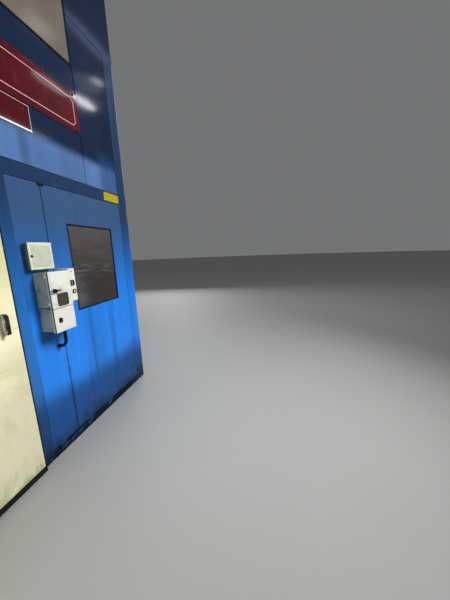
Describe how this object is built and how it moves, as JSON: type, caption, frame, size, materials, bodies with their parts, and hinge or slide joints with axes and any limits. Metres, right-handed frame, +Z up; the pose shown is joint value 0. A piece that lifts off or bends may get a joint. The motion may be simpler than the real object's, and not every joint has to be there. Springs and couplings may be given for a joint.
{
  "type": "enclosed forging press",
  "caption": "Hot forging press in a tall blue sound enclosure with a cream front door, tinted window, bare sign boards and small control boxes on its wall.",
  "frame": {"origin": "on the floor under the middle of the enclosure, on the underside of the press bed", "axes": "+Z up; +Y to the back, so the front with the door and window faces -Y; +X to the right seen from the front"},
  "size_m": [2.79, 2.9623, 4.45],
  "materials": {
    "blue_paint": "semi-gloss blue enamel, scuffed and grimy low down",
    "cream_paint": "semi-gloss cream enamel, stained",
    "grey_paint": "light grey powder coat",
    "red_board": "dark red sign enamel",
    "yellow_plate": "yellow enamel with a black border",
    "black_plastic": "satin black",
    "seal_rubber": "matt black",
    "tinted_pane": "brown tinted, smeared",
    "hinge_steel": "painted over, worn at the edges",
    "press_paint": "oily grey-green machine enamel",
    "column_steel": "ground and oiled",
    "die_steel": "heat-darkened tool steel"
  },
  "bodies": {
    "enclosure": {"corner_posts": "blue_paint", "base_rails": "blue_paint", "belt_rails": "blue_paint", "crown_end_rails": "blue_paint", "crown_side_rails": "blue_paint", "seam_posts": "blue_paint", "door_jamb": "blue_paint", "front_narrow_panel": "blue_paint", "front_window_panel": "blue_paint", "window_gasket": "seal_rubber", "window_pane": "tinted_pane", "front_side_panels": "blue_paint", "front_centre_panel": "blue_paint", "cream_panel_gasket": "seal_rubber", "front_cream_panel": "cream_paint", "front_crown_panels": "blue_paint", "left_wall_panels": "blue_paint", "right_wall_panels": "blue_paint", "back_wall_panels": "blue_paint", "roof_panels": "blue_paint", "door_hinge_pins": "hinge_steel", "name_board": "red_board", "lower_board": "red_board", "number_plate": "yellow_plate", "junction_box": "grey_paint", "control_box": "grey_paint", "terminal_box": "grey_paint", "button_box": "grey_paint", "toggle_and_button": "black_plastic", "conduit": "black_plastic", "conduit_glands": "black_plastic", "press_bed": "press_paint", "press_columns": "column_steel", "press_crown": "press_paint", "main_cylinder": "press_paint", "press_slide": "press_paint", "press_ram": "column_steel", "bolster_plate": "die_steel", "lower_die": "die_steel", "upper_die": "die_steel"},
    "door": {"front_door": "cream_paint", "door_hinge_straps": "hinge_steel", "door_handle": "black_plastic"},
    "junction_lid": {"junction_lid": "grey_paint", "junction_lock": "black_plastic"},
    "control_door": {"control_door": "grey_paint"},
    "rotary_switch": {"rotary_switch": "black_plastic"},
    "terminal_cover": {"terminal_cover": "grey_paint", "terminal_lock": "black_plastic"}
  },
  "joints": [
    {"name": "front_door_hinge", "type": "hinge", "parent": "enclosure", "child": "door", "pos_m": [-1.291, -1.447, 1.07], "axis": [0, 0, -1], "range_deg": [0, 105]},
    {"name": "junction_lid_hinge", "type": "hinge", "parent": "enclosure", "child": "junction_lid", "pos_m": [0.244, -1.432, 1.558], "axis": [0, 0, 1], "range_deg": [0, 110]},
    {"name": "control_door_hinge", "type": "hinge", "parent": "enclosure", "child": "control_door", "pos_m": [0.086, -1.505, 1.31], "axis": [0, 0, -1], "range_deg": [0, 120]},
    {"name": "terminal_cover_hinge", "type": "hinge", "parent": "enclosure", "child": "terminal_cover", "pos_m": [0.281, -1.505, 1.0875], "axis": [0, 0, 1], "range_deg": [0, 110]},
    {"name": "switch_turn", "type": "hinge", "parent": "control_door", "child": "rotary_switch", "pos_m": [0.12, -1.53, 1.309], "axis": [0, -1, 0], "range_deg": [0, 90]}
  ]
}
